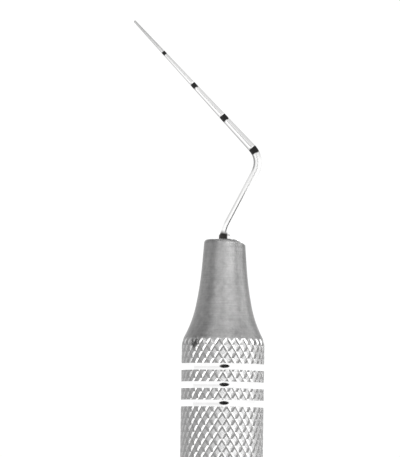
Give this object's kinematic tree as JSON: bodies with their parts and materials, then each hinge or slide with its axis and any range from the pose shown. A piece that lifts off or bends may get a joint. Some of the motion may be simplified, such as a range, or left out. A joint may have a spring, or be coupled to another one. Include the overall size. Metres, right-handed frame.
{
  "type": "dental hand instrument",
  "caption": "Single-ended dental hand instrument: long tapering round point with depth rings on a bent shank, trumpet-shaped cone and hollow knurled handle with polished rings.",
  "frame": {"origin": "on the handle axis, in the middle of the front finger grip", "axes": "+Z along the handle axis towards the working end; the shank bends in the XZ plane, first towards +X and then to the tip at -X"},
  "size_m": [0.0154, 0.0094, 0.1507],
  "materials": {
    "polished_steel": "ground and polished",
    "satin_steel": "bead-blasted satin",
    "knurled_steel": "satin, diamond knurled",
    "black_enamel": "semi-gloss",
    "braze": "cast silver alloy"
  },
  "bodies": {
    "root": {"working_end": "polished_steel", "depth_ring_5mm": "black_enamel", "depth_ring_10mm": "black_enamel", "depth_ring_15mm": "black_enamel", "depth_ring_20mm": "black_enamel", "tang_braze": "braze", "nose_cone": "satin_steel", "front_braze_ring": "braze", "handle_tube": "knurled_steel", "rear_braze_ring": "braze", "end_plug": "satin_steel"}
  },
  "joints": []
}
